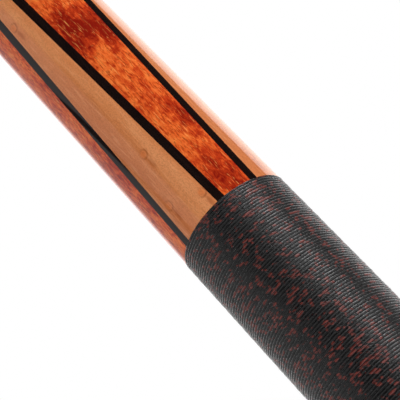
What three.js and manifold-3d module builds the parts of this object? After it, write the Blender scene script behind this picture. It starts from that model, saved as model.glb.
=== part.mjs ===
// A two-piece pool cue, standing on its bumper with the tip up. Millimetres, +Z along the cue from butt to tip.
// The origin is the centre of the bumper's flat foot.
import * as THREE from "three";
import { mergeVertices } from "three/addons/utils/BufferGeometryUtils.js";
import Module from "manifold-3d";

const wasm = await Module();
wasm.setup();

// ---------------------------------------------------------------- driving dimensions

// Heights along the cue.
const CAP_BOTTOM = 13; // the bumper stands this far below the butt cap
const CAP_TOP = CAP_BOTTOM + 25;
const SLEEVE_BOTTOM = CAP_TOP + 2; // a metal ring lies between cap and sleeve
const WRAP_BOTTOM = SLEEVE_BOTTOM + 106;
const WRAP_LENGTH = 305; // 12 in
const WRAP_TOP = WRAP_BOTTOM + WRAP_LENGTH;
const JOINT_FACE = CAP_BOTTOM + 737; // the butt half is 29 in long
const SHAFT_LENGTH = 737; // and so is the shaft half, tip included
const TIP_TOP = JOINT_FACE + SHAFT_LENGTH;
const COLLAR_LENGTH = 14;
const RING_LENGTH = 2;
const PARALLEL_LENGTH = 327; // the shaft keeps one diameter over this length, behind the crown of the tip
const FERRULE_LENGTH = 25.4;
const PAD_LENGTH = 1.2;
const TIP_LENGTH = 7.8;

// Outer radii.
const CAP_R = 15.9; // 1.25 in across at the butt
const WRAP_BOTTOM_R = 15.03;
const WRAP_TOP_R = 13.2;
const JOINT_R = 10.8; // 0.850 in across at the joint
const TIP_R = 6.5; // 13 mm across at the tip

// Spliced points: V-grooves with square walls, lined with black veneer and filled with maple.
const POINTS = 4;
const GROOVE_WALL = Math.PI / 4; // each wall's angle from the groove's middle plane
const VENEER = 1.75; // measured square to the wall
const FOREARM_GROOVE = { base: WRAP_TOP, towards: 1, apex: 4.6, rise: 0.0393 };
const SLEEVE_GROOVE = { base: WRAP_BOTTOM, towards: -1, apex: 5.4, rise: 0.112 };
const GROOVE_REACH = 20; // the cutters end this far from the axis, outside every wood

// Clearances.
const GLUE = 0.05; // between glued pieces
const SEAT = 0.1; // between a tenon and its bore
const FACE_GAP = 0.05; // each side of the joint face, where the two halves butt together

// Bores and tenons.
const COLLAR_TENON_R = 8.2;
const HANDLE_TENON_R = 9.5;
const HANDLE_TENON_LENGTH = 30;
const CAP_TENON_R = 9.5;
const BOLT_BORE_R = 6.35; // half inch thread
const BOLT_BOTTOM = 34;
const BOLT_LENGTH = 100;
const STUD_R = 3;
const WRAP_THICKNESS = 0.7;

// Joint pin: a round-form thread, 8 to the inch, right-handed.
const PITCH = 3.175;
const PIN_MEAN_R = 4.33;
const THREAD_DEPTH = 0.43; // the thread swings this far each side of the mean radius
const PIN_OUT = 31.75;
const PIN_IN = 32;
const PIN_POINT = 4; // plain pilot at the pin's end
const THREAD_CLEARANCE = 0.25;

const SIDES = 48;
const THREAD_SIDES = 16;
const RINGS_PER_TURN = 6;

// ---------------------------------------------------------------- colours

const FINISH = {
  redMaple: { color: 0xc2491a, roughness: 0.25 },
  paleMaple: { color: 0xcf8d5c, roughness: 0.25 },
  shaftMaple: { color: 0xe2c08a, roughness: 0.4 },
  coreMaple: { color: 0xd8b27c, roughness: 0.6 },
  blackVeneer: { color: 0x0f0a09, roughness: 0.25 },
  linen: { color: 0x2c2a2e, roughness: 0.8 },
  phenolic: { color: 0x0b0b0c, roughness: 0.2 },
  nickelSilver: { color: 0xc9c6bd, roughness: 0.2, metalness: 1 },
  steel: { color: 0xb8babd, roughness: 0.3, metalness: 1 },
  brass: { color: 0xc9a14a, roughness: 0.3, metalness: 1 },
  ferruleWhite: { color: 0xf0ece0, roughness: 0.3 },
  fibre: { color: 0x7a1f17, roughness: 0.6 },
  leather: { color: 0x3b5f8a, roughness: 0.85 },
  rubber: { color: 0x131313, roughness: 0.75 },
};

// ---------------------------------------------------------------- shapes

// The cue's outline as [height, radius], from the butt cap to the tip.
const OUTLINE = [
  [CAP_BOTTOM, CAP_R],
  [WRAP_BOTTOM, WRAP_BOTTOM_R],
  [WRAP_TOP, WRAP_TOP_R],
  [JOINT_FACE, JOINT_R],
  [TIP_TOP - PARALLEL_LENGTH, TIP_R],
  [TIP_TOP, TIP_R],
];

function outerRadius(z) {
  const i = OUTLINE.findIndex(([height], k) => k > 0 && z <= height);
  const [[z0, r0], [z1, r1]] = [OUTLINE[i - 1], OUTLINE[i]];
  return r0 + ((r1 - r0) * (z - z0)) / (z1 - z0);
}

// A solid of revolution about Z. The profile is [radius, height] points, up the outside and down the inside.
function turned(profile, sides = SIDES) {
  const points = profile.map(([r, z]) => new THREE.Vector2(r, z));
  return new THREE.LatheGeometry(points, sides).rotateX(Math.PI / 2);
}

// A ring between two heights that follows the cue's outline, bored to an inner radius.
function ring(bottom, top, inner) {
  return turned([
    [inner, bottom],
    [outerRadius(bottom), bottom],
    [outerRadius(top), top],
    [inner, top],
    [inner, bottom],
  ]);
}

function rod(radius, bottom, top) {
  return turned([[0, bottom], [radius, bottom], [radius, top], [0, top]]);
}

function chamferedRod(radius, bottom, top, chamfer) {
  return turned([
    [0, bottom],
    [radius - chamfer, bottom],
    [radius, bottom + chamfer],
    [radius, top - chamfer],
    [radius - chamfer, top],
    [0, top],
  ]);
}

// A geometry as a manifold-3d solid, and back.
function solidOf(geometry) {
  const bare = geometry.clone();
  bare.deleteAttribute("normal");
  bare.deleteAttribute("uv");
  const merged = mergeVertices(bare, 1e-4);
  return new wasm.Manifold(
    new wasm.Mesh({
      numProp: 3,
      vertProperties: merged.attributes.position.array,
      triVerts: new Uint32Array(merged.index.array),
    }),
  );
}

function geometryOf(solid) {
  const { vertProperties, triVerts } = solid.getMesh();
  const geometry = new THREE.BufferGeometry();
  geometry.setAttribute("position", new THREE.BufferAttribute(vertProperties, 3));
  geometry.setIndex(new THREE.BufferAttribute(triVerts, 1));
  return geometry;
}

function cut(geometry, ...tools) {
  const solid = tools.reduce((left, tool) => left.subtract(solidOf(tool)), solidOf(geometry));
  return geometryOf(solid);
}

// The inside of a V-groove. Its bottom starts `apex` from the axis at the groove's base and climbs
// outwards along the cue, so the groove narrows to a point where it leaves the wood.
// `inset` moves both walls in towards the groove's middle, and `startGap` starts it off its base.
function grooveSpace({ base, towards, apex, rise }, index, inset, startGap) {
  const bottom = apex + inset / Math.sin(GROOVE_WALL);
  const length = (GROOVE_REACH - apex) / rise;
  const halfMouth = Math.tan(GROOVE_WALL) * (2 * GROOVE_REACH - bottom);
  const vee = new THREE.Shape([
    new THREE.Vector2(bottom, 0),
    new THREE.Vector2(2 * GROOVE_REACH, -halfMouth),
    new THREE.Vector2(2 * GROOVE_REACH, halfMouth),
  ]);
  const space = new THREE.ExtrudeGeometry(vee, { depth: length, bevelEnabled: false });
  const lean = new THREE.Matrix4().makeShear(0, 0, 0, 0, rise, 0);
  space.applyMatrix4(lean);
  if (towards < 0) {
    space.rotateX(Math.PI);
  }
  return space
    .rotateZ((index * 2 * Math.PI) / POINTS)
    .translate(0, 0, base + towards * startGap);
}

// A rod with a round-form right-handed thread, in step with the joint face, and flat ends.
function threadedRod(meanRadius, bottom, top) {
  const rings = Math.ceil(((top - bottom) / PITCH) * RINGS_PER_TURN);
  const positions = [0, 0, bottom, 0, 0, top];
  for (let ring = 0; ring <= rings; ring++) {
    const z = bottom + ((top - bottom) * ring) / rings;
    for (let side = 0; side < THREAD_SIDES; side++) {
      const angle = (2 * Math.PI * side) / THREAD_SIDES;
      const phase = (2 * Math.PI * (z - JOINT_FACE)) / PITCH - angle;
      const r = meanRadius + THREAD_DEPTH * Math.cos(phase);
      positions.push(r * Math.cos(angle), r * Math.sin(angle), z);
    }
  }
  const at = (ring, side) => 2 + ring * THREAD_SIDES + (side % THREAD_SIDES);
  const faces = [];
  for (let side = 0; side < THREAD_SIDES; side++) {
    faces.push(0, at(0, side + 1), at(0, side));
    faces.push(1, at(rings, side), at(rings, side + 1));
    for (let ring = 0; ring < rings; ring++) {
      faces.push(at(ring, side), at(ring, side + 1), at(ring + 1, side + 1));
      faces.push(at(ring, side), at(ring + 1, side + 1), at(ring + 1, side));
    }
  }
  const geometry = new THREE.BufferGeometry();
  geometry.setAttribute("position", new THREE.Float32BufferAttribute(positions, 3));
  geometry.setIndex(faces);
  return geometry;
}

// ---------------------------------------------------------------- assembly

const cue = new THREE.Group();
const material = Object.fromEntries(
  Object.entries(FINISH).map(([name, look]) => [name, new THREE.MeshStandardMaterial(look)]),
);

function add(name, finish, geometry) {
  const mesh = new THREE.Mesh(geometry, material[finish]);
  mesh.name = name;
  cue.add(mesh);
}

// The maple points and black veneers in one set of grooves, trimmed to the outline of the wood around them.
function addPoints(prefix, groove, bottom, top) {
  const outline = () => solidOf(ring(bottom + GLUE, top - GLUE, groove.apex / 2));
  for (let index = 0; index < POINTS; index++) {
    const space = (inset) => solidOf(grooveSpace(groove, index, inset, 0));
    const point = outline().intersect(space(VENEER));
    const veneer = outline().intersect(space(0)).subtract(space(VENEER - GLUE));
    add(`${prefix}point_${index + 1}`, "paleMaple", geometryOf(point));
    add(`${prefix}veneer_${index + 1}`, "blackVeneer", geometryOf(veneer));
  }
}

function grooveCutters(groove) {
  return Array.from({ length: POINTS }, (_, index) => grooveSpace(groove, index, -GLUE, -GLUE));
}

function addBumper() {
  const foot = 10.6;
  const side = 13.9;
  const stem = 5.7;
  const rib = 6.15;
  const stemTop = CAP_BOTTOM + 16;
  const top = CAP_BOTTOM - GLUE;
  add("bumper", "rubber", turned([
    [0, 0],
    [foot, 0],
    [foot + 1.5, 0.6],
    [foot + 2.4, 2.2],
    [side - 0.3, top - 3],
    [side, top - 0.8],
    [side - 0.6, top],
    [stem, top],
    [stem, stemTop - 7],
    [rib, stemTop - 5.5],
    [rib, stemTop - 4],
    [stem - 1.2, stemTop],
    [0, stemTop],
  ]));
}

function addButtEnd() {
  const webTop = CAP_BOTTOM + 4;
  const webBore = BOLT_BORE_R + SEAT;
  const chamfer = 0.8;
  add("butt_cap", "phenolic", turned([
    [webBore, CAP_BOTTOM],
    [CAP_R - chamfer, CAP_BOTTOM],
    [CAP_R, CAP_BOTTOM + chamfer],
    [outerRadius(CAP_TOP), CAP_TOP],
    [CAP_TENON_R + SEAT, CAP_TOP],
    [CAP_TENON_R + SEAT, webTop],
    [webBore, webTop],
    [webBore, CAP_BOTTOM],
  ]));
  const ringInner = CAP_TENON_R + SEAT;
  add("cap_ring", "nickelSilver", ring(CAP_TOP + GLUE, SLEEVE_BOTTOM - GLUE, ringInner));

  const body = turned([
    [0, webTop + GLUE],
    [CAP_TENON_R, webTop + GLUE],
    [CAP_TENON_R, SLEEVE_BOTTOM],
    [outerRadius(SLEEVE_BOTTOM), SLEEVE_BOTTOM],
    [outerRadius(WRAP_BOTTOM), WRAP_BOTTOM],
    [HANDLE_TENON_R, WRAP_BOTTOM],
    [HANDLE_TENON_R, WRAP_BOTTOM + HANDLE_TENON_LENGTH],
    [0, WRAP_BOTTOM + HANDLE_TENON_LENGTH],
  ]);
  const boltTop = BOLT_BOTTOM + BOLT_LENGTH;
  const boltBore = rod(BOLT_BORE_R, CAP_BOTTOM, boltTop + 8);
  add("butt_sleeve", "redMaple", cut(body, boltBore, ...grooveCutters(SLEEVE_GROOVE)));
  addPoints("sleeve_", SLEEVE_GROOVE, SLEEVE_BOTTOM, WRAP_BOTTOM);

  const keyRadius = 3.7; // a hexagon socket, to its corners
  const keyDepth = 7;
  const socket = new THREE.CylinderGeometry(keyRadius, keyRadius, 2 * keyDepth, 6)
    .rotateX(Math.PI / 2)
    .translate(0, 0, BOLT_BOTTOM);
  const bolt = chamferedRod(BOLT_BORE_R - SEAT, BOLT_BOTTOM, boltTop, 1.2);
  add("weight_bolt", "steel", cut(bolt, socket));
}

function addHandle() {
  const underWrap = (z) => outerRadius(z) - WRAP_THICKNESS - SEAT;
  const bottom = WRAP_BOTTOM + GLUE;
  const top = WRAP_TOP - GLUE;
  const boreR = HANDLE_TENON_R + SEAT;
  const boreDepth = HANDLE_TENON_LENGTH + 2 * SEAT;
  const stud = { bottom: WRAP_TOP - HANDLE_TENON_LENGTH - 25, top: WRAP_TOP + 20 };
  const handle = turned([
    [0, bottom + boreDepth],
    [boreR, bottom + boreDepth],
    [boreR, bottom],
    [underWrap(bottom), bottom],
    [underWrap(top), top],
    [boreR, top],
    [boreR, top - boreDepth],
    [0, top - boreDepth],
  ]);
  const studBore = rod(STUD_R + SEAT, stud.bottom - SEAT, WRAP_TOP);
  add("handle_core", "coreMaple", cut(handle, studBore));
  add("linen_wrap", "linen", turned([
    [outerRadius(bottom) - WRAP_THICKNESS, bottom],
    [outerRadius(bottom), bottom],
    [outerRadius(top), top],
    [outerRadius(top) - WRAP_THICKNESS, top],
    [outerRadius(bottom) - WRAP_THICKNESS, bottom],
  ]));
  add("handle_stud", "steel", chamferedRod(STUD_R, stud.bottom, stud.top, 0.6));
  return stud;
}

function addForearm(stud) {
  const shoulder = JOINT_FACE - COLLAR_LENGTH - RING_LENGTH;
  const tenonTop = JOINT_FACE - FACE_GAP;
  const body = turned([
    [0, WRAP_TOP - HANDLE_TENON_LENGTH],
    [HANDLE_TENON_R, WRAP_TOP - HANDLE_TENON_LENGTH],
    [HANDLE_TENON_R, WRAP_TOP],
    [WRAP_TOP_R, WRAP_TOP],
    [outerRadius(shoulder), shoulder],
    [COLLAR_TENON_R, shoulder],
    [COLLAR_TENON_R, tenonTop],
    [0, tenonTop],
  ]);
  const pinMajor = PIN_MEAN_R + THREAD_DEPTH;
  const pinBore = rod(pinMajor + SEAT, JOINT_FACE - PIN_IN - SEAT, JOINT_FACE);
  const studBore = rod(STUD_R + SEAT, WRAP_TOP - HANDLE_TENON_LENGTH - 1, stud.top + SEAT);
  add("forearm", "redMaple", cut(body, pinBore, studBore, ...grooveCutters(FOREARM_GROOVE)));
  addPoints("", FOREARM_GROOVE, WRAP_TOP, shoulder);

  const inner = COLLAR_TENON_R + SEAT;
  const ringTop = shoulder + RING_LENGTH;
  add("butt_ring", "nickelSilver", ring(shoulder + GLUE, ringTop - GLUE, inner));
  add("butt_collar", "phenolic", ring(ringTop, JOINT_FACE - FACE_GAP, inner));
}

function addJointPin() {
  const major = PIN_MEAN_R + THREAD_DEPTH;
  const minor = PIN_MEAN_R - THREAD_DEPTH;
  const threadTop = JOINT_FACE + PIN_OUT - PIN_POINT;
  const shank = solidOf(turned([
    [0, JOINT_FACE - PIN_IN],
    [major - 0.8, JOINT_FACE - PIN_IN],
    [major, JOINT_FACE - PIN_IN + 0.8],
    [major, JOINT_FACE - 2],
    [minor, JOINT_FACE - 1],
    [minor, threadTop + 0.5],
    [minor - 0.2, threadTop + PIN_POINT - 1],
    [minor - 1.2, threadTop + PIN_POINT],
    [0, threadTop + PIN_POINT],
  ], THREAD_SIDES));
  const thread = solidOf(threadedRod(PIN_MEAN_R, JOINT_FACE + 1, threadTop));
  add("joint_pin", "steel", geometryOf(shank.add(thread)));
}

function addShaft() {
  const face = JOINT_FACE + FACE_GAP;
  const shoulder = JOINT_FACE + COLLAR_LENGTH + RING_LENGTH;
  const ferruleBottom = TIP_TOP - TIP_LENGTH - PAD_LENGTH - FERRULE_LENGTH;
  const ferruleTop = ferruleBottom + FERRULE_LENGTH;
  const tenonR = 4;
  const tenonTop = ferruleBottom + 17;
  const insertR = 6.2;
  const insertTop = JOINT_FACE + PIN_OUT + 2;

  const body = turned([
    [0, face],
    [COLLAR_TENON_R, face],
    [COLLAR_TENON_R, shoulder],
    [outerRadius(shoulder), shoulder],
    [TIP_R, TIP_TOP - PARALLEL_LENGTH],
    [TIP_R, ferruleBottom],
    [tenonR, ferruleBottom],
    [tenonR, tenonTop],
    [0, tenonTop],
  ]);
  const insertBore = rod(insertR + SEAT, JOINT_FACE - 1, insertTop + SEAT);
  const pilot = rod(PIN_MEAN_R, JOINT_FACE, insertTop + 6);
  add("shaft", "shaftMaple", cut(body, insertBore, pilot));

  const inner = COLLAR_TENON_R + SEAT;
  const collarTop = JOINT_FACE + COLLAR_LENGTH;
  add("shaft_collar", "phenolic", ring(face, collarTop, inner));
  add("shaft_ring", "nickelSilver", ring(collarTop + GLUE, shoulder - GLUE, inner));

  const tap = threadedRod(PIN_MEAN_R + THREAD_CLEARANCE, JOINT_FACE - 2, insertTop + 2);
  const insert = chamferedRod(insertR, face + 0.4, insertTop, 0.5);
  add("shaft_insert", "brass", cut(insert, tap));

  add("ferrule", "ferruleWhite", turned([
    [0, tenonTop + SEAT],
    [tenonR + SEAT, tenonTop + SEAT],
    [tenonR + SEAT, ferruleBottom + GLUE],
    [TIP_R, ferruleBottom + GLUE],
    [TIP_R, ferruleTop],
    [0, ferruleTop],
  ]));
  add("tip_pad", "fibre", rod(TIP_R, ferruleTop + GLUE, ferruleTop + PAD_LENGTH));
  addTip(ferruleTop + PAD_LENGTH + GLUE);
}

// The tip is dressed to a coin's curve, which meets its straight side at an edge.
function addTip(bottom) {
  const crown = 10.6;
  const steps = 6;
  const side = TIP_R - 0.05;
  const edgeAngle = Math.asin(side / crown);
  const profile = [[0, bottom], [side, bottom]];
  for (let step = 0; step <= steps; step++) {
    const angle = edgeAngle * (1 - step / steps);
    const z = TIP_TOP - crown * (1 - Math.cos(angle));
    profile.push([step === steps ? 0 : crown * Math.sin(angle), z]);
  }
  add("tip", "leather", turned(profile));
}

addBumper();
addButtEnd();
addForearm(addHandle());
addJointPin();
addShaft();

export default cue;
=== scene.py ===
"""The looks of the pool cue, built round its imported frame. Blender 4.5, metres, +Z from butt to tip."""

import math

import bmesh
import bpy
import numpy as np
from mathutils import Matrix, Vector


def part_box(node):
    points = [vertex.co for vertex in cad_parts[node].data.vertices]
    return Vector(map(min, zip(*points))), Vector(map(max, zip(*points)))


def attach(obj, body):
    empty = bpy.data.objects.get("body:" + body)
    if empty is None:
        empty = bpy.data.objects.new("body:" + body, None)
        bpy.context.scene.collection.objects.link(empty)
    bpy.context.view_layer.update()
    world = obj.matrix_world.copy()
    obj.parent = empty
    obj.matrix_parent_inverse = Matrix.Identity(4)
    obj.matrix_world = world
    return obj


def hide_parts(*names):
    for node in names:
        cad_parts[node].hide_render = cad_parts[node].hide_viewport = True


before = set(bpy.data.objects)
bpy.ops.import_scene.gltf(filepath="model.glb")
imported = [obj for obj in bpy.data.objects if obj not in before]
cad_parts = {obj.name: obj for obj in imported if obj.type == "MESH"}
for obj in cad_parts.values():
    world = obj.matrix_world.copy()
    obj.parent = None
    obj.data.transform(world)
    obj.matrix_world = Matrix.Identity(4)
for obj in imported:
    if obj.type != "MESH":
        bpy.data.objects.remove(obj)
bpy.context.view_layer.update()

MM = 0.001

# ---------------------------------------------------------------- places taken from the frame


def rim(node, end):
    """Height and outer radius of a turned CAD node at its lower end (0) or its upper end (1)."""
    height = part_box(node)[end].z
    corners = [v.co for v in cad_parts[node].data.vertices]
    radii = [math.hypot(c.x, c.y) for c in corners if abs(c.z - height) < 1e-4]
    return height, max(radii)


CAP_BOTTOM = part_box("butt_cap")[0].z
CAP_TOP = rim("butt_cap", 1)
SLEEVE_BOTTOM = rim("cap_ring", 1)
WRAP_BOTTOM = rim("linen_wrap", 0)
WRAP_TOP = rim("linen_wrap", 1)
FOREARM_TOP = rim("butt_ring", 0)
BUTT_FACE = rim("butt_collar", 1)
SHAFT_FACE = rim("shaft_collar", 0)
SHAFT_BOTTOM = rim("shaft_ring", 1)
FERRULE_BOTTOM = rim("ferrule", 0)
JOINT_FACE = (BUTT_FACE[0] + SHAFT_FACE[0]) / 2
TIP_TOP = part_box("tip")[1].z
PARALLEL_LENGTH = 327 * MM  # the shaft keeps one diameter over this length behind the tip

# The V-grooves of the spliced points, as in the CAD.
POINTS = 4
GROOVE_WALL = math.radians(45)
VENEER = 1.75 * MM
FOREARM_GROOVE = {"base": WRAP_TOP[0], "towards": 1, "apex": 4.6 * MM, "rise": 0.0393}
SLEEVE_GROOVE = {"base": WRAP_BOTTOM[0], "towards": -1, "apex": 5.4 * MM, "rise": 0.112}
MAPLE_SECTIONS = 25
VENEER_SECTIONS = 12  # from the maple's tip on

# The joint thread, as in the CAD.
JOINT_PITCH = 3.175 * MM
PIN_MEAN = 4.33 * MM
THREAD_DEPTH = 0.43 * MM
THREAD_CLEARANCE = 0.25 * MM

# The wrap's thread.
LINEN_PITCH = 0.69 * MM
LINEN_PROUD = 0.05 * MM
LINEN_GROOVE = 0.21 * MM
LINEN_SLUB = 0.03 * MM  # how much thicker or thinner the thread gets along its length
LINEN_SLUBS = ((5.13, 0.0), (8.37, 1.3), (13.71, 4.1), (21.29, 2.2))  # waves a radian, and their phases
LINEN_SIDES = 80
LINEN_SECTIONS = 3


def outer_radius(z):
    """The cue's outer radius at a height."""
    stations = [SLEEVE_BOTTOM, WRAP_BOTTOM, WRAP_TOP, FOREARM_TOP, SHAFT_BOTTOM]
    stations += [(TIP_TOP - PARALLEL_LENGTH, FERRULE_BOTTOM[1]), FERRULE_BOTTOM]
    return float(np.interp(z, [s[0] for s in stations], [s[1] for s in stations]))


# ---------------------------------------------------------------- camera

CAMERA_AZIMUTH = 20.77  # degrees round the cue from -Y
CAMERA_TILT = 26.32  # degrees below the level of what it looks at
CAMERA_DISTANCE = 370.7 * MM
CAMERA_ROLL = -43.33
CAMERA_PAN = 1.141  # how far the cue's centre lies right of the middle of the view, in degrees
CAMERA_DROP = 0.773  # and below it
CAMERA_LENS = 162.2


def direction(azimuth, elevation):
    """The unit vector towards an azimuth, in degrees from -Y towards +X, and an elevation."""
    a, e = math.radians(azimuth), math.radians(elevation)
    return Vector((math.sin(a) * math.cos(e), -math.cos(a) * math.cos(e), math.sin(e)))


def make_camera():
    """Looks up along the butt at the front edge of the wrap."""
    aim = Vector((0, 0, WRAP_TOP[0]))
    back = direction(CAMERA_AZIMUTH, -CAMERA_TILT)
    right = (-back).cross(Vector((0, 0, 1))).normalized()
    up = right.cross(-back)
    roll = math.radians(CAMERA_ROLL)
    right, up = right * math.cos(roll) + up * math.sin(roll), up * math.cos(roll) - right * math.sin(roll)
    ahead = -back - right * math.tan(math.radians(CAMERA_PAN)) + up * math.tan(math.radians(CAMERA_DROP))
    ahead.normalize()
    right = (right - ahead * right.dot(ahead)).normalized()
    up = right.cross(ahead)
    data = bpy.data.cameras.new("camera")
    data.sensor_width = 36
    data.lens = CAMERA_LENS
    data.clip_start = 0.01
    camera = bpy.data.objects.new("camera", data)
    camera.matrix_world = Matrix.Translation(aim + back * CAMERA_DISTANCE) @ Matrix(
        (right, up, -ahead)
    ).transposed().to_4x4()
    bpy.context.scene.collection.objects.link(camera)
    bpy.context.scene.camera = camera


make_camera()

# ---------------------------------------------------------------- mesh making


def mesh_object(name, points, faces, sharp=30):
    """A closed mesh: doubled points are merged, and edges sharper than `sharp` degrees stay crisp."""
    data = bpy.data.meshes.new(name)
    data.from_pydata(np.asarray(points).tolist(), [], faces)
    mesh = bmesh.new()
    mesh.from_mesh(data)
    bmesh.ops.remove_doubles(mesh, verts=mesh.verts, dist=0.0005 * MM)
    bmesh.ops.dissolve_degenerate(mesh, edges=mesh.edges, dist=0.0001 * MM)
    bmesh.ops.recalc_face_normals(mesh, faces=mesh.faces)
    for face in mesh.faces:
        face.smooth = True
    mesh.to_mesh(data)
    mesh.free()
    data.set_sharp_from_angle(angle=math.radians(sharp))
    piece = bpy.data.objects.new(name, data)
    bpy.context.scene.collection.objects.link(piece)
    return piece


def grid_faces(rows, columns, wrap_rows=False):
    """The quads of a grid of points whose columns close on themselves."""
    faces = []
    for row in range(rows if wrap_rows else rows - 1):
        low, high = row * columns, (row + 1) % rows * columns
        for column in range(columns):
            following = (column + 1) % columns
            faces.append((low + column, low + following, high + following, high + column))
    return faces


def loft(name, rings):
    """A solid through rings of equally many points, closed at both ends."""
    rings = np.asarray(rings, float)
    count, size = rings.shape[:2]
    faces = grid_faces(count, size)
    faces.append(tuple(range(size)))
    faces.append(tuple(range((count - 1) * size, count * size)))
    return mesh_object(name, rings.reshape(-1, 3), faces)


def turned(name, profile, sides=96):
    """A turned solid. The profile is (radius, height) pairs, from the axis back to the axis or closing on
    itself. A radius may be a function of the angle, for a thread."""
    angles = np.arange(sides) * 2 * math.pi / sides
    rings = []
    for radius, height in profile:
        r = radius(angles) if callable(radius) else np.full(sides, radius)
        rings.append(np.stack([r * np.cos(angles), r * np.sin(angles), np.full(sides, height)], -1))
    on_axis = profile[0][0] == 0
    faces = grid_faces(len(rings), sides, wrap_rows=not on_axis)
    return mesh_object(name, np.concatenate(rings), faces)


def bevelled(piece, width, segments=2):
    """Rounds the piece's crisp edges."""
    bevel = piece.modifiers.new("bevel", "BEVEL")
    bevel.width = width
    bevel.segments = segments
    bevel.limit_method = "ANGLE"
    bevel.angle_limit = math.radians(35)
    return piece


def band(name, bottom, top, inner):
    """A ring of the cue's own outline between two heights and radii, bored out."""
    profile = [(inner, bottom[0]), (bottom[1], bottom[0]), (top[1], top[0]), (inner, top[0])]
    return bevelled(turned(name, profile, sides=128), 0.06 * MM)


def shown(piece, body, slot, material, *nodes):
    """Puts a finished piece on its body, in place of the CAD nodes that it stands for."""
    piece.data.materials.clear()
    piece.data.materials.append(material)
    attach(piece, body)
    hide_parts(*nodes)
    return piece


# ---------------------------------------------------------------- spliced wood


def groove_section(groove, z):
    """(distance from the axis to the groove's apex, its half-angle at the surface) for the outer V and
    for the maple's V inside it, at a height."""
    radius = outer_radius(z)
    outer = groove["apex"] + abs(z - groove["base"]) * groove["rise"]
    inner = outer + VENEER / math.sin(GROOVE_WALL)
    section = []
    for apex in (min(outer, radius), min(inner, radius)):
        section.append((apex, GROOVE_WALL - math.asin(apex * math.sin(GROOVE_WALL) / radius)))
    return section


def groove_tip(groove, inset):
    """The height at which a groove, or the maple inset in it, runs out to a point. The cue tapers, so the
    reach is found by repeating, from a first guess."""
    reach = 0.2
    repeats = 60
    for _ in range(repeats):
        z = groove["base"] + groove["towards"] * reach
        reach = (outer_radius(z) - groove["apex"] - inset / math.sin(GROOVE_WALL)) / groove["rise"]
    return groove["base"] + groove["towards"] * reach


def polar(radius, angle, z):
    return (radius * math.cos(angle), radius * math.sin(angle), z)


def arc(start, stop, radius, z, steps):
    return [polar(radius, a, z) for a in np.linspace(start, stop, steps)]


def quarter(index):
    return index * 2 * math.pi / POINTS


def core_ring(groove, z, steps=28):
    """The section of the wood between the grooves."""
    (apex, half), _ = groove_section(groove, z)
    points = []
    for index in range(POINTS):
        points.append(polar(apex, quarter(index), z))
        points += arc(quarter(index) + half, quarter(index + 1) - half, outer_radius(z), z, steps)
    return points


def point_ring(groove, index, z, steps=24):
    """The section of one maple point."""
    _, (apex, half) = groove_section(groove, z)
    middle = quarter(index)
    return [polar(apex, middle, z)] + arc(middle - half, middle + half, outer_radius(z), z, steps)


def veneer_ring(groove, index, z, steps=8):
    """The section of one folded veneer."""
    (outer, wide), (inner, narrow) = groove_section(groove, z)
    middle, radius = quarter(index), outer_radius(z)
    points = [polar(outer, middle, z)]
    points += arc(middle - wide, middle - narrow, radius, z, steps)
    points.append(polar(inner, middle, z))
    points += arc(middle + narrow, middle + wide, radius, z, steps)
    return points


def heights(start, stop, count):
    return list(np.linspace(start, stop, count))


def groove_heights(groove):
    """The heights at which a groove's maple is sectioned, and those of its veneer, which runs further."""
    maple_tip, veneer_tip = groove_tip(groove, VENEER), groove_tip(groove, 0)
    maple_heights = heights(groove["base"], maple_tip, MAPLE_SECTIONS)
    return maple_heights, maple_heights + heights(maple_tip, veneer_tip, VENEER_SECTIONS)[1:]


def make_points(prefix, groove, body):
    """The four maple points and the veneers that frame them."""
    maple_heights, veneer_heights = groove_heights(groove)
    for index in range(POINTS):
        node = f"{prefix}point_{index + 1}"
        rings = [point_ring(groove, index, z) for z in maple_heights]
        shown(loft(f"{node}_maple", rings), body, "pale_maple", look["pale_maple"], node)
        node = f"{prefix}veneer_{index + 1}"
        rings = [veneer_ring(groove, index, z) for z in veneer_heights]
        shown(loft(f"{node}_black", rings), body, "black_veneer", look["black_veneer"], node)


def flat_ring(radius, z, ring):
    """A round ring with its points at the same angles as another ring's."""
    return [polar(radius, math.atan2(y, x), z) for x, y, _ in ring]


def make_forearm():
    """Grooved wood from the wrap to the joint, with its tenon in the collar and the bore of the pin."""
    _, stations = groove_heights(FOREARM_GROOVE)
    stations += heights(stations[-1], FOREARM_TOP[0], 10)[1:]
    rings = [core_ring(FOREARM_GROOVE, z) for z in stations]
    tenon, bore, depth = 8.2 * MM, 4.86 * MM, 32.1 * MM
    last = rings[-1]
    rings.append(flat_ring(tenon, FOREARM_TOP[0], last))
    rings.append(flat_ring(tenon, BUTT_FACE[0], last))
    rings.append(flat_ring(bore, BUTT_FACE[0], last))
    rings.append(flat_ring(bore, JOINT_FACE - depth, last))
    shown(loft("forearm_wood", rings), "butt_half", "red_maple", look["red_maple"], "forearm")
    make_points("", FOREARM_GROOVE, "butt_half")


def make_sleeve():
    _, stations = groove_heights(SLEEVE_GROOVE)
    stations.append(SLEEVE_BOTTOM[0])
    rings = [core_ring(SLEEVE_GROOVE, z) for z in stations]
    shown(loft("sleeve_wood", rings), "butt_half", "red_maple", look["red_maple"], "butt_sleeve")
    make_points("sleeve_", SLEEVE_GROOVE, "butt_half")


# ---------------------------------------------------------------- the wrap


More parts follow.
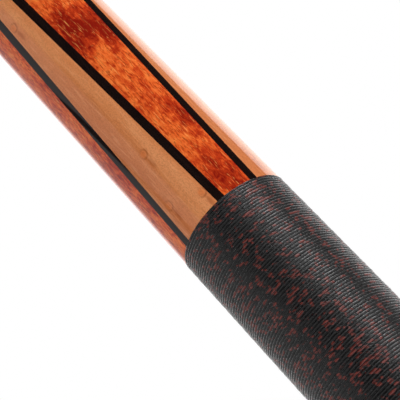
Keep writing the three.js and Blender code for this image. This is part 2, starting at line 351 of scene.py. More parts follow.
def linen_section(name, bottom, top):
    """One stretch of the wound thread: a helical ridge with a groove each side, closed by the surface of
    the handle behind it. The groove's line is at whole turns of height / pitch - angle / one turn."""
    across = [0.0, 0.12, 0.30, 0.50, 0.70, 0.88]
    depth = [drop * LINEN_GROOVE for drop in (-1.0, -0.46, -0.12, 0.0, -0.12, -0.46)]
    seat = 0.6 * LINEN_GROOVE  # how far the ends' rims and the handle's side lie under the surface
    wall_depth = 0.7 * MM
    first = math.floor(bottom / LINEN_PITCH) - 1
    turns = math.ceil(top / LINEN_PITCH) + 1 - first
    steps = turns * LINEN_SIDES + 1
    step = np.arange(steps + LINEN_SIDES)
    angle = step * 2 * math.pi / LINEN_SIDES
    rows = []
    for share, drop in zip(across, depth, strict=True):
        z = (first + step / LINEN_SIDES + share) * LINEN_PITCH
        crest = np.interp(z, [WRAP_BOTTOM[0], WRAP_TOP[0]], [WRAP_BOTTOM[1], WRAP_TOP[1]]) + LINEN_PROUD
        inside = (z > bottom) & (z < top)
        slub = sum(np.sin(angle * rate + phase) for rate, phase in LINEN_SLUBS) * LINEN_SLUB / 2
        radius = np.where(inside, crest + drop + slub, crest - LINEN_GROOVE)
        z = np.clip(z, bottom, top)
        radius = np.where(inside, radius, outer_radius(bottom) * (z < (bottom + top) / 2)
                          + outer_radius(top) * (z >= (bottom + top) / 2) - seat)
        rows.append(np.stack([radius * np.cos(angle), radius * np.sin(angle), z], -1))
    points = np.stack(rows, 1).reshape(-1, 3)
    width = len(across)
    faces = []
    for i in range(steps - 1):
        for j in range(width):
            here, right = i * width + j, (i + 1) * width + j
            above = here + 1 if j < width - 1 else (i + LINEN_SIDES) * width
            above_right = right + 1 if j < width - 1 else (i + 1 + LINEN_SIDES) * width
            faces.append((here, right, above_right, above))
    # The inner wall and the two flat ends.
    back = []
    for z, wall in ((bottom, 0), (bottom, 1), (top, 1), (top, 0)):
        radius = outer_radius(z) - (wall_depth if wall else seat)
        round_angle = np.arange(LINEN_SIDES) * 2 * math.pi / LINEN_SIDES
        back.append(np.stack([radius * np.cos(round_angle), radius * np.sin(round_angle),
                              np.full(LINEN_SIDES, z)], -1))
    offset = len(points)
    points = np.concatenate([points, *back])
    faces += [tuple(offset + k for k in face) for face in grid_faces(4, LINEN_SIDES)]
    return mesh_object(name, points, faces, sharp=75)


def make_wrap():
    edges = np.linspace(WRAP_BOTTOM[0], WRAP_TOP[0], LINEN_SECTIONS + 1)
    for index in range(LINEN_SECTIONS):
        piece = linen_section(f"linen_thread_{index + 1}", float(edges[index]), float(edges[index + 1]))
        shown(piece, "butt_half", "linen", look["linen"], "linen_wrap")


# ---------------------------------------------------------------- fittings


def thread_radius(mean, z):
    """The radius of the joint's round-form thread at a height, as a function of the angle."""
    phase = 2 * math.pi * (z - JOINT_FACE) / JOINT_PITCH
    return lambda angle: mean + THREAD_DEPTH * np.cos(phase - angle)


def make_joint_pin():
    bottom, top = (corner.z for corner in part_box("joint_pin"))
    major, minor = PIN_MEAN + THREAD_DEPTH, PIN_MEAN - THREAD_DEPTH
    thread_bottom, thread_top = JOINT_FACE + 1 * MM, top - 4 * MM
    profile = [(0, bottom), (major - 0.8 * MM, bottom), (major, bottom + 0.8 * MM)]
    profile += [(major, JOINT_FACE - 2 * MM), (minor, JOINT_FACE - 1 * MM), (minor, JOINT_FACE + 0.6 * MM)]
    turns = np.arange(thread_bottom, thread_top, JOINT_PITCH / 16)
    profile += [(thread_radius(PIN_MEAN, z), z) for z in turns]
    profile += [(minor, thread_top + 0.4 * MM), (minor - 0.2 * MM, top - 1 * MM)]
    profile += [(minor - 1.2 * MM, top), (0, top)]
    piece = turned("joint_pin_steel", profile, sides=48)
    shown(piece, "butt_half", "steel", look["steel"], "joint_pin")


def make_shaft_insert():
    bottom, top = (corner.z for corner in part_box("shaft_insert"))
    outer, mean = 6.2 * MM, PIN_MEAN + THREAD_CLEARANCE
    profile = [(outer, bottom), (outer, top)]
    profile += [(thread_radius(mean, z), z) for z in np.arange(top, bottom, -JOINT_PITCH / 16)]
    profile.append((thread_radius(mean, bottom), bottom))
    piece = turned("shaft_insert_brass", profile, sides=48)
    shown(piece, "shaft_half", "brass", look["brass"], "shaft_insert")


def make_rings():
    """The nickel-silver rings and the black collars each side of the joint."""
    bore = 8.3 * MM
    for name, body, slot, inner in (
        ("cap_ring", "butt_half", "nickel_silver", 9.6 * MM),
        ("butt_ring", "butt_half", "nickel_silver", bore),
        ("butt_collar", "butt_half", "phenolic", bore),
        ("shaft_collar", "shaft_half", "phenolic", bore),
        ("shaft_ring", "shaft_lift", "nickel_silver", bore),
    ):
        piece = band(f"{name}_turned", rim(name, 0), rim(name, 1), inner)
        shown(piece, body, slot, look[slot], name)


def make_butt_end():
    web_top, bore, socket = CAP_BOTTOM + 4 * MM, 6.45 * MM, 9.6 * MM
    widest = 15.9 * MM
    profile = [(bore, CAP_BOTTOM), (widest - 0.8 * MM, CAP_BOTTOM), (widest, CAP_BOTTOM + 0.8 * MM)]
    profile += [(CAP_TOP[1], CAP_TOP[0]), (socket, CAP_TOP[0]), (socket, web_top), (bore, web_top)]
    cap = bevelled(turned("butt_cap_turned", profile, sides=128), 0.3 * MM, 3)
    shown(cap, "butt_half", "phenolic", look["phenolic"], "butt_cap")

    top = CAP_BOTTOM - 0.05 * MM
    foot, side, stem, barb = 10.6 * MM, 13.9 * MM, 5.7 * MM, 6.15 * MM
    stem_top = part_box("bumper")[1].z
    profile = [(0, 0), (foot, 0), (foot + 1.5 * MM, 0.6 * MM), (foot + 2.4 * MM, 2.2 * MM)]
    profile += [(side - 1.0 * MM, top - 6.2 * MM), (side - 1.3 * MM, top - 5.6 * MM)]
    profile += [(side - 0.9 * MM, top - 5.0 * MM), (side - 0.3 * MM, top - 3 * MM)]
    profile += [(side, top - 0.8 * MM), (side - 0.6 * MM, top), (stem, top)]
    profile += [(stem, stem_top - 7 * MM), (barb, stem_top - 5.5 * MM), (barb, stem_top - 4 * MM)]
    profile += [(stem - 1.2 * MM, stem_top), (0, stem_top)]
    bumper = bevelled(turned("bumper_moulded", profile, sides=96), 0.35 * MM, 3)
    shown(bumper, "bumper", "rubber", look["rubber"], "bumper")


def make_shaft():
    """Maple from the shaft ring to the ferrule, with the tenon in the collar and the bore of the insert."""
    tenon, bore, bore_top = 8.2 * MM, 6.3 * MM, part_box("shaft_insert")[1].z
    pilot, ferrule_tenon = 4.33 * MM, 4 * MM
    profile = [(0, bore_top + 6 * MM), (pilot, bore_top + 6 * MM), (pilot, bore_top), (bore, bore_top)]
    profile += [(bore, SHAFT_FACE[0]), (tenon, SHAFT_FACE[0]), (tenon, SHAFT_BOTTOM[0])]
    parallel = TIP_TOP - PARALLEL_LENGTH
    for z in [*heights(SHAFT_BOTTOM[0], parallel, 20), *heights(parallel, FERRULE_BOTTOM[0], 12)[1:]]:
        profile.append((outer_radius(z), z))
    tenon_top = FERRULE_BOTTOM[0] + 17 * MM
    profile += [(ferrule_tenon, FERRULE_BOTTOM[0]), (ferrule_tenon, tenon_top), (0, tenon_top)]
    shown(turned("shaft_wood", profile), "shaft_half", "shaft_maple", look["shaft_maple"], "shaft")

    bottom, top = (corner.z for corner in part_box("ferrule"))
    inner, inner_top = ferrule_tenon + 0.1 * MM, tenon_top + 0.15 * MM
    radius = FERRULE_BOTTOM[1]
    profile = [(0, inner_top), (inner, inner_top), (inner, bottom)]
    profile += [(radius, bottom), (radius, top), (0, top)]
    ferrule = bevelled(turned("ferrule_turned", profile), 0.08 * MM)
    shown(ferrule, "shaft_half", "ferrule_white", look["ferrule_white"], "ferrule")

    bottom, top = (corner.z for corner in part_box("tip_pad"))
    profile = [(0, bottom), (radius, bottom), (radius, top), (0, top)]
    pad = bevelled(turned("tip_pad_disc", profile), 0.08 * MM)
    shown(pad, "shaft_half", "fibre", look["fibre"], "tip_pad")

    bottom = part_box("tip")[0].z
    crown, side = 10.6 * MM, radius - 0.05 * MM
    profile = [(0, bottom), (side, bottom)]
    edge = math.asin(side / crown)
    for share in np.linspace(1, 0, 16):
        angle = edge * share
        profile.append((crown * math.sin(angle), TIP_TOP - crown * (1 - math.cos(angle))))
    tip = bevelled(turned("tip_leather_crown", profile), 0.25 * MM, 3)
    shown(tip, "shaft_half", "tip_leather", look["tip_leather"], "tip")


# ---------------------------------------------------------------- materials


# Dark patches in the red maple's figure: degrees round the cue, mm above the wrap, half-width and
# half-length in mm, and strength.
RED_FIGURE = (
    (-29, 53, 4.6, 11, 0.28),
    (-56, 54, 4.4, 11, 0.29),
    (-32, 20, 3.6, 8, 0.16),
    (-43, 5, 6.5, 10, 0.13),
    (-128, 30, 5.0, 14, 0.12),
    (42, 24, 5.0, 12, 0.16),
    (137, 60, 5.5, 16, 0.16),
)
# Birdseyes in the maple points: degrees round the cue and mm above the wrap.
BIRDSEYES = (
    (-87, 20),
    (-103, 8),
    (-72, 4),
    (-6, 6),
    (8, 41),
    (-97, 66),
    (86, 15),
    (101, 37),
    (174, 28),
)


class Paint:
    """A material, and short calls for its pattern's nodes. Lengths in patterns are millimetres."""

    def __init__(self, name, **sockets):
        self.material = bpy.data.materials.new(name)
        self.material.use_nodes = True
        self.nodes = self.material.node_tree.nodes
        self.bsdf = self.nodes["Principled BSDF"]
        for socket, value in sockets.items():
            self.set(socket.replace("_", " ").title().replace("Ior", "IOR"), value)
        place = self.node("ShaderNodeTexCoord").outputs["Object"]
        self.place = self.scaled(place, (1000, 1000, 1000))

    def set(self, socket, value):
        self.feed(self.bsdf.inputs[socket], value)

    def feed(self, socket, value):
        if isinstance(value, bpy.types.NodeSocket):
            self.material.node_tree.links.new(value, socket)
        else:
            socket.default_value = value

    def node(self, kind, inputs=(), **settings):
        made = self.nodes.new(kind)
        for key, value in settings.items():
            setattr(made, key, value)
        for key, value in inputs:
            self.feed(made.inputs[key], value)
        return made

    def math(self, operation, *values):
        return self.node("ShaderNodeMath", enumerate(values), operation=operation).outputs[0]

    def scaled(self, vector, factors):
        made = self.node("ShaderNodeVectorMath", [(0, vector), (1, factors)], operation="MULTIPLY")
        return made.outputs[0]

    def grain(self, across, along):
        """Coordinates in which one unit is `across` mm round the cue and `along` mm along it."""
        return self.scaled(self.place, (1 / across, 1 / across, 1 / along))

    def noise(self, vector, detail=2.0, roughness=0.5, distortion=0.0, seed=0.0):
        shifted = self.node("ShaderNodeVectorMath", [(0, vector), (1, (seed, seed * 1.7, seed * 0.6))])
        inputs = [("Vector", shifted.outputs[0]), ("Scale", 1.0), ("Detail", detail)]
        inputs += [("Roughness", roughness), ("Distortion", distortion)]
        return self.node("ShaderNodeTexNoise", inputs).outputs[0]

    def warped(self, vector, size, amount, seed=0.0):
        """Coordinates in mm, pushed about by up to half of `amount` in swirls of `size`."""
        shifted = self.node("ShaderNodeVectorMath", [(0, vector), (1, (seed, seed, seed))])
        inputs = [("Vector", shifted.outputs[0]), ("Scale", 1 / size), ("Detail", 2.0)]
        swirl = self.node("ShaderNodeTexNoise", inputs).outputs["Color"]
        push = self.node(
            "ShaderNodeVectorMath", [(0, swirl), (1, (-0.5, -0.5, -0.5))], operation="ADD"
        ).outputs[0]
        inputs = [(0, push), (1, (amount, amount, amount)), (2, vector)]
        return self.node("ShaderNodeVectorMath", inputs, operation="MULTIPLY_ADD").outputs[0]

    def reach(self, angle, height, half_width, half_length, vector):
        """How far off a place on the wood above the wrap is: 1 on an oval round it. The angle is in
        degrees round the cue, and the rest in mm."""
        z = WRAP_TOP[0] + height * MM
        centre = [c / MM for c in polar(outer_radius(z), math.radians(angle), z)]
        off = self.node("ShaderNodeVectorMath", [(0, vector), (1, centre)], operation="SUBTRACT").outputs[0]
        off = self.scaled(off, (1 / half_width, 1 / half_width, 1 / half_length))
        return self.node("ShaderNodeVectorMath", [(0, off)], operation="LENGTH").outputs["Value"]

    def lacquer(self):
        """The long, faint waves of a sprayed and polished finish."""
        self.bump(self.noise(self.grain(6, 30), detail=1), 0.01 * MM, 0.4)

    def smooth(self, value, low, high, out_low=0.0, out_high=1.0):
        """Goes smoothly from out_low to out_high as the value goes from low to high."""
        inputs = [("Value", value), ("From Min", low), ("From Max", high)]
        inputs += [("To Min", out_low), ("To Max", out_high)]
        return self.node("ShaderNodeMapRange", inputs, interpolation_type="SMOOTHSTEP").outputs[0]

    def blend(self, factor, first, second):
        made = self.node("ShaderNodeMix", [(0, factor)], data_type="RGBA")
        self.feed(made.inputs[6], first)
        self.feed(made.inputs[7], second)
        return made.outputs[2]

    def ramp(self, value, *stops):
        made = self.node("ShaderNodeValToRGB", [(0, value)])
        elements = made.color_ramp.elements
        while len(elements) < len(stops):
            elements.new(0.5)
        for element, (position, colour) in zip(elements, stops, strict=True):
            element.position = position
            element.color = (*colour, 1)
        return made.outputs[0]

    def bump(self, height, distance, strength=1.0):
        inputs = [("Height", height), ("Distance", distance), ("Strength", strength)]
        self.set("Normal", self.node("ShaderNodeBump", inputs).outputs[0])

    def xyz(self):
        return self.node("ShaderNodeSeparateXYZ", [(0, self.place)]).outputs


def paint_red_maple():
    """Stained curly maple under gloss: orange to maroon figure, short dark pores and light rays."""
    p = Paint("red_maple", ior=1.5, roughness=0.05)
    swirled = p.warped(p.place, 4.0, 2.6, seed=6.2)
    cloud = p.noise(p.scaled(swirled, (1 / 5.5, 1 / 5.5, 1 / 12)), detail=2, seed=3.1)
    mottle = p.noise(p.grain(0.9, 2.2), detail=5, roughness=0.66, distortion=0.6, seed=7.7)
    dark = p.math("MULTIPLY", cloud, 0.45)
    for angle, height, half_width, half_length, strength in RED_FIGURE:
        patch = p.smooth(p.reach(angle, height, half_width, half_length, swirled), 0.25, 1.0, 1.0, 0.0)
        dark = p.math("MULTIPLY_ADD", patch, strength, dark)
    dark = p.math("MULTIPLY_ADD", mottle, 0.95, dark)
    colour = p.ramp(
        dark,
        (0.52, (0.95, 0.24, 0.048)),
        (0.66, (0.86, 0.145, 0.024)),
        (0.80, (0.60, 0.050, 0.009)),
        (0.98, (0.26, 0.009, 0.003)),
    )
    pores = p.noise(p.grain(0.27, 1.7), detail=3, roughness=0.65, distortion=0.3, seed=1.3)
    colour = p.blend(p.smooth(pores, 0.53, 0.63, 0, 0.72), colour, (0.30, 0.013, 0.003, 1))
    rays = p.noise(p.grain(0.22, 2.8), detail=2, distortion=0.6, seed=5.9)
    colour = p.blend(p.smooth(rays, 0.60, 0.72, 0, 0.65), colour, (0.98, 0.38, 0.10, 1))
    p.set("Base Color", colour)
    p.lacquer()
    return p.material


def paint_pale_maple():
    """Birdseye maple under gloss: fine speckle, soft bands along the grain, and the eyes, with painted
    shade along one side of each point and a painted shadow on one side of each eye.
    """
    p = Paint("pale_maple", ior=1.5, roughness=0.05)
    broad = p.noise(p.grain(2.2, 45.0), detail=2, seed=2.4)
    colour = p.ramp(
        broad,
        (0.36, (0.86, 0.34, 0.135)),
        (0.52, (0.80, 0.285, 0.10)),
        (0.66, (0.72, 0.24, 0.082)),
    )
    # Each point is painted darker along one side: painted shade, not a tone of the wood. The share across
    # it is 0.5 along its middle.
    x, y, _ = p.xyz()
    share = p.math("FRACT", p.math("MULTIPLY_ADD", p.math("ARCTAN2", y, x), POINTS / (2 * math.pi), 2.5))
    colour = p.blend(p.smooth(share, 0.44, 0.53, 0.55, 0.0), colour, (0.66, 0.185, 0.066, 1))
    swirled = p.warped(p.place, 0.9, 0.35, seed=3.3)
    for angle, height in BIRDSEYES:
        tail = p.smooth(p.reach(angle + 1.0, height - 2.9, 0.75, 2.4, swirled), 0.2, 1.0, 0.6, 0.0)
        off = p.reach(angle, height, 1.0, 1.2, swirled)
        rim = p.math("MULTIPLY", p.smooth(off, 0.60, 0.85), p.smooth(off, 0.95, 1.30, 1.0, 0.0))
        # The dark ring round each eye is strong on one side only: partly the eye's own figure, partly a
        # painted shadow on that side, as of a dimple.
        shadow_side = p.smooth(p.reach(angle + 3.4, height - 0.7, 1.0, 1.2, swirled), 0.7, 1.9, 1.0, 0.2)
        ring = p.math("MULTIPLY", p.math("MULTIPLY", rim, shadow_side), 0.7)
        rim = p.math("MAXIMUM", ring, tail)
        colour = p.blend(p.smooth(off, 0.4, 1.0, 0.75, 0.0), colour, (0.78, 0.215, 0.06, 1))
        colour = p.blend(rim, colour, (0.42, 0.085, 0.02, 1))
    speckle = p.noise(p.grain(0.24, 0.42), detail=3, roughness=0.7, seed=4.2)
    colour = p.blend(p.smooth(speckle, 0.42, 0.64, 0, 0.42), colour, (0.48, 0.135, 0.045, 1))
    fibres = p.noise(p.grain(0.35, 5.0), detail=3, seed=9.4)
    colour = p.blend(p.smooth(fibres, 0.5, 0.70, 0, 0.30), colour, (0.98, 0.47, 0.22, 1))
    p.set("Base Color", colour)
    p.lacquer()
    return p.material


def paint_black_veneer():
    p = Paint("black_veneer", ior=1.5, roughness=0.05)
    fibres = p.noise(p.grain(0.2, 5.0), detail=2, seed=8.1)
    p.set("Base Color", p.ramp(fibres, (0.4, (0.006, 0.0022, 0.0018)), (0.7, (0.014, 0.006, 0.005))))
    p.lacquer()
    return p.material


def paint_linen():
    """Waxed four-cord thread, charcoal with dyed red stretches, with painted shade in the grooves between
    turns.
    """
    p = Paint("linen", ior=1.5, specular_ior_level=0.44, sheen_weight=1.0, sheen_roughness=0.25)
    turn_length = 88.0  # mm of thread in one turn of the wrap
    x, y, z = p.xyz()
    turn = p.math("DIVIDE", p.math("ARCTAN2", y, x), 2 * math.pi)
    wound = p.math("SUBTRACT", p.math("DIVIDE", z, LINEN_PITCH / MM), turn)
    across = p.math("FRACT", wound)
    length = p.math("MULTIPLY", p.math("ADD", p.math("FLOOR", wound), turn), turn_length)

    def on_thread(size, slant=0.0, width=0.0):
        """Coordinates along the thread, in units of `size` mm, leaning with the thread's twist."""
        lean = p.math("MULTIPLY_ADD", across, slant, length)
        inputs = [(0, p.math("DIVIDE", lean, size)), (1, p.math("MULTIPLY", across, width)), (2, 0.0)]
        return p.node("ShaderNodeCombineXYZ", inputs).outputs[0]

    dyed = p.noise(on_thread(1.35, 0.5), detail=1, seed=0.4)
    chained = p.noise(p.grain(1.25, 1.25), detail=1, seed=2.9)
    frayed = p.noise(on_thread(0.22, 0.3, 2.5), detail=2, seed=5.5)
    mark = p.math("ADD", p.math("MULTIPLY", dyed, 0.50), p.math("MULTIPLY", chained, 0.50))
    mark = p.math("MULTIPLY_ADD", frayed, 0.14, mark)
    fleck = p.smooth(mark, 0.612, 0.652)
    strand = p.noise(on_thread(0.9, 0.6, 3.0), detail=3, seed=7.1)
    charcoal = p.ramp(strand, (0.35, (0.0014, 0.0013, 0.0016)), (0.65, (0.0046, 0.0042, 0.0052)))
    red = p.ramp(strand, (0.35, (0.075, 0.0085, 0.006)), (0.65, (0.20, 0.035, 0.026)))
    colour = p.blend(fleck, charcoal, red)
    # Painted shade: the colour goes near black towards the grooves between turns, on top of the modelled
    # grooves.
    from_crest = p.math("ABSOLUTE", p.math("SUBTRACT", across, 0.5))
    colour = p.blend(p.smooth(from_crest, 0.28, 0.46, 0, 0.85), colour, (0.0015, 0.0013, 0.0015, 1))
    p.set("Base Color", colour)
    p.set("Roughness", p.smooth(strand, 0.3, 0.7, 0.20, 0.34))
    twist = p.noise(on_thread(0.7, 0.9, 1.6), detail=4, roughness=0.65, seed=3.8)
    p.bump(twist, 0.08 * MM, 1.0)
    return p.material


def paint_straight_maple(name, roughness, seed, chalky=False):
    """Hard maple with straight growth lines, seen edge-on at the sides and as long flames at the front."""
    p = Paint(name, ior=1.5)
    plates = p.noise(p.scaled(p.place, (1 / 0.8, 1 / 9, 1 / 240)), detail=3, roughness=0.55, seed=seed)
    colour = p.ramp(
        plates,
        (0.32, (0.79, 0.59, 0.35)),
        (0.50, (0.75, 0.54, 0.30)),
        (0.64, (0.68, 0.46, 0.235)),
    )
    pores = p.noise(p.grain(0.12, 2.2), detail=2, seed=seed + 1)
    colour = p.blend(p.smooth(pores, 0.58, 0.70, 0, 0.4), colour, (0.46, 0.27, 0.12, 1))
    if chalky:
        smear = p.noise(p.grain(2.5, 16.0), detail=4, roughness=0.6, seed=seed + 2)
        height = p.xyz()[2]
        near_tip = p.smooth(height, TIP_TOP / MM - 330, TIP_TOP / MM - 45)
        chalk = p.math("MULTIPLY", p.smooth(smear, 0.38, 0.66, 0, 0.13), near_tip)
        colour = p.blend(chalk, colour, (0.34, 0.42, 0.50, 1))
    p.set("Base Color", colour)
    p.set("Roughness", p.smooth(pores, 0.4, 0.7, roughness, roughness + 0.14))
    p.bump(p.noise(p.grain(0.2, 3.0), detail=3, seed=seed + 3), 0.008 * MM, 0.5)
    return p.material


def paint_phenolic():
    """Polished black resin with hairline scratches from handling."""
    p = Paint("phenolic", ior=1.55)
    swirl = p.noise(p.grain(2.5, 2.5), detail=3, seed=1.7)
    p.set("Base Color", p.ramp(swirl, (0.35, (0.006, 0.006, 0.0065)), (0.65, (0.012, 0.012, 0.0125))))
    wandering = p.warped(p.place, 3.0, 0.6, seed=8.8)
    scratches = p.noise(p.scaled(wandering, (1 / 0.09, 1 / 0.5, 1 / 2.2)), detail=2, seed=4.9)
    p.set("Roughness", p.smooth(scratches, 0.55, 0.75, 0.09, 0.24))
    p.bump(scratches, 0.001 * MM, 0.5)
    return p.material


def paint_turned_metal(name, light, dark, roughness, seed):
    """Metal with the fine rings that a lathe leaves, and a little tarnish."""
    p = Paint(name, metallic=1.0)
    tarnish = p.noise(p.grain(3.0, 3.0), detail=4, roughness=0.6, seed=seed)
    p.set("Base Color", p.ramp(tarnish, (0.38, light), (0.70, dark)))
    rings = p.noise(p.grain(60.0, 0.06), detail=2, seed=seed + 1)
    p.set("Roughness", p.math("MULTIPLY_ADD", rings, 0.16, roughness - 0.06))
    p.bump(rings, 0.003 * MM, 0.6)
    return p.material


def paint_ferrule():
    """Off-white ferrule plastic, slightly stained by chalk."""
    p = Paint("ferrule_white", ior=1.5, subsurface_weight=0.12, subsurface_scale=0.001)
    cloud = p.noise(p.grain(1.5, 5.0), detail=3, seed=2.2)
    colour = p.ramp(cloud, (0.35, (0.86, 0.83, 0.74)), (0.65, (0.80, 0.76, 0.65)))
    stain = p.noise(p.grain(0.6, 0.9), detail=4, roughness=0.7, seed=6.6)
    near_tip = p.smooth(p.xyz()[2], FERRULE_BOTTOM[0] / MM, TIP_TOP / MM - 8)
    stained = p.math("MULTIPLY", p.smooth(stain, 0.45, 0.75, 0, 0.22), near_tip)
    colour = p.blend(stained, colour, (0.42, 0.50, 0.60, 1))
    p.set("Base Color", colour)
    p.set("Roughness", p.smooth(cloud, 0.3, 0.7, 0.22, 0.36))
    p.bump(p.noise(p.grain(40.0, 0.08), detail=2, seed=5.1), 0.003 * MM, 0.5)
    return p.material


def paint_fibre():
    """Vulcanised red fibre, in thin layers."""
    p = Paint("fibre", ior=1.5)
    layers = p.noise(p.grain(6.0, 0.12), detail=3, seed=1.9)
    p.set("Base Color", p.ramp(layers, (0.35, (0.34, 0.035, 0.022)), (0.65, (0.20, 0.018, 0.012))))
    p.set("Roughness", p.smooth(layers, 0.3, 0.7, 0.5, 0.7))
    p.bump(layers, 0.02 * MM, 0.6)
    return p.material


def paint_tip_leather():
    """Layered leather with blue chalk pressed into its crown."""
    p = Paint("tip_leather", ior=1.45)
    layers = p.noise(p.grain(5.0, 0.35), detail=3, seed=3.6)
    hide = p.ramp(layers, (0.35, (0.30, 0.17, 0.085)), (0.65, (0.15, 0.075, 0.035)))
    grit = p.noise(p.grain(0.18, 0.18), detail=5, roughness=0.7, seed=7.3)
    chalk = p.ramp(grit, (0.35, (0.035, 0.12, 0.28)), (0.65, (0.10, 0.26, 0.48)))
    crown = p.smooth(p.math("MULTIPLY_ADD", grit, 1.6, p.xyz()[2]), TIP_TOP / MM - 2.6, TIP_TOP / MM - 0.9)
    p.set("Base Color", p.blend(crown, hide, chalk))
    p.set("Roughness", p.smooth(grit, 0.3, 0.7, 0.72, 0.95))
    p.bump(grit, 0.09 * MM, 0.8)
    return p.material


def paint_rubber():
    """Black moulded rubber, dusty and scuffed."""
    p = Paint("rubber", ior=1.5)
    scuff = p.noise(p.grain(2.0, 1.2), detail=5, roughness=0.7, distortion=0.4, seed=2.7)
    p.set("Base Color", p.ramp(scuff, (0.40, (0.010, 0.010, 0.010)), (0.72, (0.035, 0.034, 0.032))))
    p.set("Roughness", p.smooth(scuff, 0.35, 0.7, 0.52, 0.78))
    p.bump(p.noise(p.grain(0.22, 0.22), detail=4, roughness=0.6, seed=9.9), 0.03 * MM, 0.6)
    return p.material


def paint_floor():
    p = Paint("floor", ior=1.45)
    drift = p.noise(p.grain(420.0, 420.0), detail=3, seed=0.7)
    p.set("Base Color", p.ramp(drift, (0.35, (0.79, 0.79, 0.785)), (0.65, (0.82, 0.82, 0.815))))
    p.set("Roughness", p.smooth(drift, 0.3, 0.7, 0.8, 0.9))
    p.bump(p.noise(p.grain(1.2, 1.2), detail=3, seed=1.1), 0.05 * MM, 0.3)
    return p.material


look = {
    "red_maple": paint_red_maple(),
    "pale_maple": paint_pale_maple(),
    "black_veneer": paint_black_veneer(),
    "linen": paint_linen(),
    "shaft_maple": paint_straight_maple("shaft_maple", 0.30, 2.3, chalky=True),
    "core_maple": paint_straight_maple("core_maple", 0.55, 12.6),
    "phenolic": paint_phenolic(),
    "nickel_silver": paint_turned_metal("nickel_silver", (0.64, 0.61, 0.54), (0.52, 0.48, 0.40), 0.20, 3.2),
    "steel": paint_turned_metal("steel", (0.56, 0.56, 0.57), (0.42, 0.42, 0.43), 0.28, 5.4),
    "brass": paint_turned_metal("brass", (0.66, 0.44, 0.13), (0.48, 0.29, 0.08), 0.28, 7.8),
    "ferrule_white": paint_ferrule(),
    "fibre": paint_fibre(),
    "tip_leather": paint_tip_leather(),
    "rubber": paint_rubber(),
}

# ---------------------------------------------------------------- studio

FLOOR_DROP = 17 * MM  # the cue hangs in its clip with just enough room to pull the bumper out


def make_floor():
    radius, thickness = 6.0, 0.02
    top = -FLOOR_DROP
    profile = [(0, top - thickness), (radius, top - thickness), (radius, top), (0, top)]
    floor = turned("floor", profile, sides=64)
    floor.data.materials.append(paint_floor())


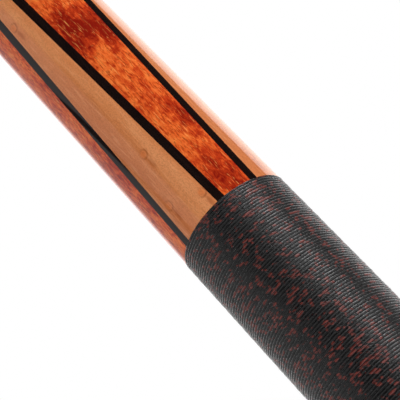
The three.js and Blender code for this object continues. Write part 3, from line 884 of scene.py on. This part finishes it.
def make_world():
    """A white surround in the view. What lights the cue and shows in its gloss is a studio round it: dark
    behind the camera, a bright panel behind the cue on one side, a dimmer one on the other, and a key light
    high up."""
    world = bpy.data.worlds.new("studio")
    bpy.context.scene.world = world
    world.use_nodes = True
    nodes, links = world.node_tree.nodes, world.node_tree.links
    nodes.clear()

    def add(kind, inputs=(), **settings):
        made = nodes.new(kind)
        for key, value in settings.items():
            setattr(made, key, value)
        for key, value in inputs:
            if isinstance(value, bpy.types.NodeSocket):
                links.new(value, made.inputs[key])
            else:
                made.inputs[key].default_value = value
        return made

    def calc(operation, *values):
        return add("ShaderNodeMath", enumerate(values), operation=operation).outputs[0]

    def ease(value, low, high, out_low=0.0, out_high=1.0):
        inputs = [("Value", value), ("From Min", low), ("From Max", high)]
        inputs += [("To Min", out_low), ("To Max", out_high)]
        return add("ShaderNodeMapRange", inputs, interpolation_type="SMOOTHSTEP").outputs[0]

    towards = add("ShaderNodeTexCoord").outputs["Generated"]
    turned_to = add(
        "ShaderNodeVectorRotate",
        [("Vector", towards), ("Angle", math.radians(-CAMERA_AZIMUTH))],
        rotation_type="Z_AXIS",
    ).outputs[0]
    split = add("ShaderNodeSeparateXYZ", [(0, turned_to)]).outputs
    degrees = 180 / math.pi
    # Degrees round from the camera: positive towards its left, where the lower left of the view is
    # lit from.
    sideways, forwards = calc("MULTIPLY", split[0], -1.0), calc("MULTIPLY", split[1], -1.0)
    left = calc("MULTIPLY", calc("ARCTAN2", sideways, forwards), degrees)
    height = calc("MULTIPLY", calc("ARCSINE", split[2]), degrees)

    def window(value, low, high, soft):
        """1 between two values and 0 outside them, with soft edges."""
        rise, fall = ease(value, low - soft, low + soft), ease(value, high - soft, high + soft, 1.0, 0.0)
        return calc("MULTIPLY", rise, fall)

    fill = 0.04
    right_panel = calc("MULTIPLY", ease(left, -124, -120, 1.0, 0.0), ease(left, -168, -132, 1.3, 1.8))
    left_panel = ease(left, 39, 44, 0.0, 0.48)
    left_rise = ease(left, 138, 158, 0.0, 1.1)
    # The left panel is dimmer over the heights that show in the gloss.
    beside = calc("ABSOLUTE", calc("SUBTRACT", height, 31.0))
    left_panel = calc("MULTIPLY", left_panel, ease(beside, 5, 12, 1.0, 1.9))
    # A dark gap leans across the left-hand panel and ends in a point.
    gap_middle = calc("MULTIPLY_ADD", height, 3.6, -30.4)
    gap_half = ease(height, 32.8, 34.3, 5.5, 0.0)
    off_middle = calc("ABSOLUTE", calc("SUBTRACT", left, gap_middle))
    gap = ease(calc("SUBTRACT", off_middle, gap_half), -0.8, 0.8, 0.05, 1.0)
    panels = calc("ADD", calc("ADD", right_panel, left_rise), calc("MULTIPLY", left_panel, gap))
    panels = calc("MULTIPLY", panels, window(height, 6, 60, 5))
    # The key light hangs over the right-hand side and a long low one stands there, above and below all
    # that the gloss shows in the main view.
    high_key = calc("MULTIPLY", window(height, 50, 70, 4), window(left, -98, -74, 6))
    low_key = calc("MULTIPLY", window(height, -10, 12, 3), window(left, -71, -13, 10))
    key = calc("ADD", calc("MULTIPLY", high_key, 20.5), calc("MULTIPLY", low_key, 5.2))
    light = calc("ADD", calc("ADD", panels, key), fill)
    seen = add("ShaderNodeLightPath").outputs["Is Camera Ray"]
    strength = add("ShaderNodeMix", [(0, seen), (2, light), (3, 1.0)], data_type="FLOAT").outputs[0]
    background = add("ShaderNodeBackground", [("Color", (1, 1, 1, 1)), ("Strength", strength)])
    output = add("ShaderNodeOutputWorld")
    links.new(background.outputs[0], output.inputs[0])


bpy.context.scene.view_settings.view_transform = "Standard"
make_floor()
make_world()

# ---------------------------------------------------------------- assembly

make_butt_end()
make_sleeve()
make_wrap()
make_forearm()
make_joint_pin()
make_shaft_insert()
make_rings()
make_shaft()
for node, slot in (("handle_core", "core_maple"), ("handle_stud", "steel"), ("weight_bolt", "steel")):
    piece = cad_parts[node]
    piece.data.materials.clear()
    piece.data.materials.append(look[slot])
